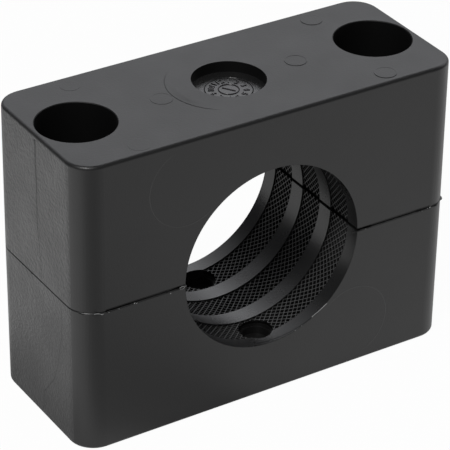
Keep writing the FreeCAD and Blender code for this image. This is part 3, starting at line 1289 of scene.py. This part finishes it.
@dataclass
class Studio:
    """Pale floor, soft light and the camera at the photograph's viewing angle.

    The key light stands high at the front left, so the clamp's shadow lies behind it on the right. A
    white wall stands behind on the right, where the top mirrors it, and the rest of the room is dim.
    """

    azimuth_deg: float = -32.488
    elevation_deg: float = 31.16
    roll_deg: float = 0.875
    aim_mm: tuple[float, float, float] = (-0.511, 0.0, 40.226)
    distance_mm: float = 682.76
    lens_mm: float = 205.423
    sensor_mm: float = 36.0
    clip_m: tuple[float, float] = (0.01, 50.0)
    # The clamp stands on its ejector marks, so the floor lies just under the outer face.
    floor_height_mm: float = -0.12
    floor_reach_m: float = 6.0
    floor_colour: str = "#f2f2f2"
    background: str = "#ffffff"
    seen_share: float = 0.97
    mirrored_share: float = 0.9
    # Painted light: how bright the floor looks in the plastic, by the share of a turn from the front,
    # clockwise from above.
    floor_glow: tuple = (
        (0.0, 0.62), (0.08, 0.4), (0.14, 0.45), (0.2, 1.0), (0.37, 1.0), (0.46, 0.6), (0.55, 0.25),
        (0.66, 0.45), (0.75, 1.0), (0.82, 0.8), (0.88, 0.75), (1.0, 0.65),
    )
    # Painted shadow of the clamp on the floor, seen in the plastic: close to its left end and behind it, but
    # not in front or on the right.
    contact_shade: float = 0.55
    shade_reach_mm: float = 36.0
    left_end_mm: float = -57.0
    back_mm: float = 23.0
    shaded_from_front_mm: tuple[float, float] = (-30.0, -10.0)
    shaded_to_right_mm: tuple[float, float] = (30.0, 60.0)
    # The wall fades in and out over these compass angles and over these heights of a direction.
    wall_in_deg: tuple[float, float] = (-38.0, 22.0)
    wall_out_deg: tuple[float, float] = (75.0, 120.0)
    wall_foot: tuple[float, float] = (0.25, 0.64)
    wall_foot_share: float = 0.2
    wall_top: tuple[float, float] = (0.58, 0.82)
    wall_colour: str = "#fafbff"
    wall_strength: float = 2.2
    dim_strength: float = 0.1
    soft_colour: str = "#f4f5f7"
    soft_strength: float = 0.3
    softbox_mm: tuple[float, float, float] = (-540.0, -360.0, 1050.0)
    softbox_side_mm: float = 220.0
    softbox_watts: float = 6.0

    def camera(self) -> None:
        """Sets the camera up: it looks along the line from its place to the aim point, with a small roll."""
        azimuth, elevation, roll = (
            math.radians(a) for a in (self.azimuth_deg, self.elevation_deg, self.roll_deg)
        )
        back = Vector(
            (
                math.sin(azimuth) * math.cos(elevation),
                -math.cos(azimuth) * math.cos(elevation),
                math.sin(elevation),
            )
        )
        right = Vector((math.cos(azimuth), math.sin(azimuth), 0.0))
        up = back.cross(right)
        rolled_right = right * math.cos(roll) + up * math.sin(roll)
        rolled_up = up * math.cos(roll) - right * math.sin(roll)
        turn = Matrix((rolled_right, rolled_up, back)).transposed().to_4x4()
        place = Vector(self.aim_mm) * MM + back * self.distance_mm * MM
        data = bpy.data.cameras.new("photo camera")
        data.lens = self.lens_mm
        data.sensor_width = self.sensor_mm
        data.clip_start, data.clip_end = self.clip_m
        item = bpy.data.objects.new("photo camera", data)
        item.matrix_world = Matrix.Translation(place) @ turn
        bpy.context.scene.collection.objects.link(item)
        bpy.context.scene.camera = item

    def floor(self) -> None:
        """Lays a large pale floor under the clamp, which the camera sees almost white, and which glows in
        reflections with painted light and a painted shadow.
        """
        mesh = bpy.data.meshes.new("floor")
        reach = self.floor_reach_m
        height = self.floor_height_mm * MM
        corners = [(x * reach, y * reach, height) for x, y in ((-1, -1), (1, -1), (1, 1), (-1, 1))]
        mesh.from_pydata(corners, [], [(0, 1, 2, 3)])
        item = bpy.data.objects.new("floor", mesh)
        bpy.context.scene.collection.objects.link(item)
        material = bpy.data.materials.new("pale painted floor")
        material.use_nodes = True
        tree = material.node_tree
        tree.nodes.clear()
        path = add_node(tree, "ShaderNodeLightPath")
        mixed = add_node(tree, "ShaderNodeBsdfDiffuse", {}, {"Color": linear(self.floor_colour)})
        for ray, share, strength in (
            ("Is Glossy Ray", self.mirrored_share, self.glow(tree)),
            ("Is Camera Ray", self.seen_share, 1.0),
        ):
            light = add_node(
                tree, "ShaderNodeEmission", {}, {"Color": linear(self.background), "Strength": strength}
            )
            part = add_node(
                tree, "ShaderNodeMath", {"operation": "MULTIPLY"}, {0: path.outputs[ray], 1: share}
            )
            mixed = add_node(
                tree, "ShaderNodeMixShader", {},
                {0: part.outputs[0], 1: mixed.outputs[0], 2: light.outputs[0]},
            )
        add_node(tree, "ShaderNodeOutputMaterial", {}, {"Surface": mixed.outputs[0]})
        mesh.materials.append(material)

    def glow(self, tree: bpy.types.NodeTree) -> bpy.types.NodeSocket:
        """Adds the floor's glow in the plastic's reflections, painted light that goes by the compass angle
        round the clamp.

        It is the value of a ramp over that angle, times 1 less a painted shadow of the clamp.

        Args:
            tree: The floor's node tree.

        Returns:
            The socket of the brightness.
        """
        place = add_node(tree, "ShaderNodeTexCoord").outputs["Object"]
        axes = add_node(tree, "ShaderNodeSeparateXYZ", {}, {0: place}).outputs
        compass = add_node(tree, "ShaderNodeMath", {"operation": "ARCTAN2"}, {0: axes["X"], 1: axes["Y"]})
        turn = add_node(
            tree, "ShaderNodeMapRange", {},
            {"Value": compass.outputs[0], "From Min": -math.pi, "From Max": math.pi},
        )
        ramp = add_node(tree, "ShaderNodeValToRGB", {}, {"Fac": turn.outputs["Result"]})
        ramp.color_ramp.interpolation = "EASE"
        stops = ramp.color_ramp.elements
        for place_on_ramp, _ in self.floor_glow[1:-1]:
            stops.new(place_on_ramp)
        for stop, (place_on_ramp, value) in zip(stops, self.floor_glow):
            stop.position = place_on_ramp
            stop.color = (value, value, value, 1.0)
        beyond_end, beyond_back = (
            add_node(tree, "ShaderNodeMath", {"operation": "SUBTRACT"}, {0: far, 1: near}).outputs[0]
            for far, near in ((self.left_end_mm * MM, axes["X"]), (axes["Y"], self.back_mm * MM))
        )
        away = add_node(
            tree, "ShaderNodeMath", {"operation": "MAXIMUM"}, {0: beyond_end, 1: beyond_back}
        ).outputs[0]
        front_low, front_high = self.shaded_from_front_mm
        right_low, right_high = self.shaded_to_right_mm
        shade = stepped(
            tree, self.contact_shade,
            [
                (away, 0.0, self.shade_reach_mm * MM, 1.0, 0.0),
                (axes["Y"], front_low * MM, front_high * MM, 0.0, 1.0),
                (axes["X"], right_low * MM, right_high * MM, 1.0, 0.0),
            ],
        )
        left = add_node(tree, "ShaderNodeMath", {"operation": "SUBTRACT"}, {0: 1.0, 1: shade})
        return add_node(
            tree, "ShaderNodeMath", {"operation": "MULTIPLY"}, {0: ramp.outputs["Color"], 1: left.outputs[0]}
        ).outputs[0]

    def world(self) -> None:
        """Lights the scene softly from all round, with a white wall for the glossy surfaces to mirror.

        The wall's share of a direction is the product of four smooth steps: two over the compass angle,
        counted from +Y towards +X, and two over the height, which is the direction's z.
        """
        world = bpy.data.worlds.new("soft studio")
        bpy.context.scene.world = world
        world.use_nodes = True
        tree = world.node_tree
        tree.nodes.clear()
        path = add_node(tree, "ShaderNodeLightPath")
        sky = add_node(tree, "ShaderNodeTexCoord").outputs["Generated"]
        axes = add_node(tree, "ShaderNodeSeparateXYZ", {}, {0: sky}).outputs
        compass = add_node(
            tree, "ShaderNodeMath", {"operation": "ARCTAN2"}, {0: axes["X"], 1: axes["Y"]}
        ).outputs[0]
        share = stepped(
            tree, 1.0,
            [
                (compass, *np.radians(self.wall_in_deg).tolist(), 0.0, 1.0),
                (compass, *np.radians(self.wall_out_deg).tolist(), 1.0, 0.0),
                (axes["Z"], *self.wall_foot, self.wall_foot_share, 1.0),
                (axes["Z"], *self.wall_top, 1.0, 0.0),
            ],
        )
        strength = add_node(
            tree, "ShaderNodeMapRange", {},
            {"Value": share, "To Min": self.dim_strength, "To Max": self.wall_strength},
        )
        soft, room, white = (
            add_node(tree, "ShaderNodeBackground", {}, {"Color": linear(colour), "Strength": brightness})
            for colour, brightness in (
                (self.soft_colour, self.soft_strength),
                (self.wall_colour, strength.outputs["Result"]),
                (self.background, 1.0),
            )
        )
        mixed = soft
        for ray, light in (("Is Glossy Ray", room), ("Is Camera Ray", white)):
            mixed = add_node(
                tree, "ShaderNodeMixShader", {},
                {0: path.outputs[ray], 1: mixed.outputs[0], 2: light.outputs[0]},
            )
        add_node(tree, "ShaderNodeOutputWorld", {}, {"Surface": mixed.outputs[0]})
        # Rays alone find this world: picked as a lamp, it would show glossy surfaces the soft light only.
        world.cycles.sampling_method = "NONE"

    def softbox(self) -> None:
        """Adds a square softbox that looks at the middle of the clamp."""
        data = bpy.data.lights.new("high softbox", "AREA")
        data.size = self.softbox_side_mm * MM
        data.energy = self.softbox_watts
        item = bpy.data.objects.new("high softbox", data)
        item.location = Vector(self.softbox_mm) * MM
        item.rotation_euler = (Vector(self.aim_mm) * MM - item.location).to_track_quat("-Z", "Y").to_euler()
        bpy.context.scene.collection.objects.link(item)

    def build(self) -> None:
        """Sets up the camera, the floor, the world and the softbox."""
        self.camera()
        self.floor()
        self.world()
        self.softbox()
        bpy.context.scene.view_settings.view_transform = "Standard"


def build_finishes(sizes: ClampSizes) -> dict[Region, bpy.types.Material]:
    """Makes the finish of each surface of a moulding.

    Args:
        sizes: The clamp's sizes.

    Returns:
        Materials by region.
    """
    finishes = {
        # Ground steel leaves an even satin skin.
        Region.LONG_SIDE: MouldedPolypropylene("polypropylene_ground_mould", roughness=0.4),
        # Spark-eroded steel leaves a sandy skin, which looks lighter at a low angle.
        Region.END: MouldedPolypropylene(
            "polypropylene_spark_eroded_mould", roughness=0.4, roughness_spread=0.05,
            grain_mm=0.9, grain_height_mm=0.36, specular=0.88,
        ),
        # The same ground steel with the insert round the recess, which the eye finds by its edge.
        Region.OUTER_FACE: MouldedPolypropylene(
            "polypropylene_flat_ground_mould", insert=InsertEdge(2 * sizes.joint_height)
        ),
        # A turned and polished core leaves the lands glossier than the rest.
        Region.BORE: MouldedPolypropylene("polypropylene_turned_core", roughness=0.28),
        # Core pins drag on the plastic as they leave it, so hole walls are dull. Their darker colour and
        # weaker sheen are painted shade, which the recess walls, the joint's gap and the dark line on the
        # mouth's land share.
        Region.HOLE_WALL: MouldedPolypropylene(
            "polypropylene_core_pin", colour="#0d0d0d", roughness=0.55, specular=0.35
        ),
        # The polished end of a pin leaves a floor that mirrors its surroundings.
        Region.RECESS_FLOOR: MouldedPolypropylene(
            "polypropylene_pin_end", colour="#202020", roughness=0.26, specular=0.68
        ),
        # The crests are lighter grey than the plastic: a painted highlight for the glints of rounded crests,
        # against the black slopes between them.
        Region.KNURL_CREST: MouldedPolypropylene(
            "polypropylene_knurl_crest", colour="#4c4c4c", roughness=0.4, specular=0.5
        ),
        # The slopes are darker and duller than the plastic: painted shade in the pits between the crests.
        Region.KNURL_SLOPE: MouldedPolypropylene(
            "polypropylene_knurl_slope", colour="#0a0a0a", roughness=0.5, specular=0.12
        ),
        # The seam shows as a duller line in the grain of the ends.
        Region.SEAM: MouldedPolypropylene(
            "polypropylene_mould_seam", roughness=0.5, grain_mm=0.9, grain_height_mm=0.36, specular=0.5
        ),
        # The ring of the core pin shows as a line just lighter than the front: its lighter colour is a
        # painted highlight.
        Region.RING: MouldedPolypropylene("polypropylene_core_ring", colour="#2c2c2c", roughness=0.4),
        # The flakes and threads of flash are pale: a painted glint.
        Region.WHITENED: MouldedPolypropylene(
            "polypropylene_whitened", colour="#a0a0a0", roughness=0.6, specular=0.5
        ),
    }
    return {region: finish.build() for region, finish in finishes.items()}


def report(item: bpy.types.Object) -> None:
    """Rides a piece on the clamp's body and logs it.

    Args:
        item: The piece.
    """
    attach(item, BODY)
    LOG.info("%s: %d faces", item.name, len(item.data.polygons))


def main() -> None:
    """Builds the clamp's pieces in order and sets the studio round them."""
    logging.basicConfig(level=logging.INFO, format="%(name)s: %(message)s")
    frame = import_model()
    sizes = ClampSizes.from_frame(frame["record"])
    finishes = build_finishes(sizes)
    for half in Half:
        report(Moulding(half, sizes, finishes).build(frame["nodes"][half.node]))
        bands = KnurledBands(half, sizes, finishes[Region.KNURL_CREST], finishes[Region.KNURL_SLOPE])
        for band in bands.build():
            report(band)
        report(EjectorMarks(half, sizes, finishes[Region.OUTER_FACE]).build())
        report(MouldLines(half, sizes, finishes[Region.RING], finishes[Region.SEAM]).build())
        report(RecessDial(half, sizes, finishes[Region.RECESS_FLOOR]).build())
    for piece in Flash(sizes, finishes).build():
        report(piece)
    Studio().build()


if __name__ == "__main__":
    main()
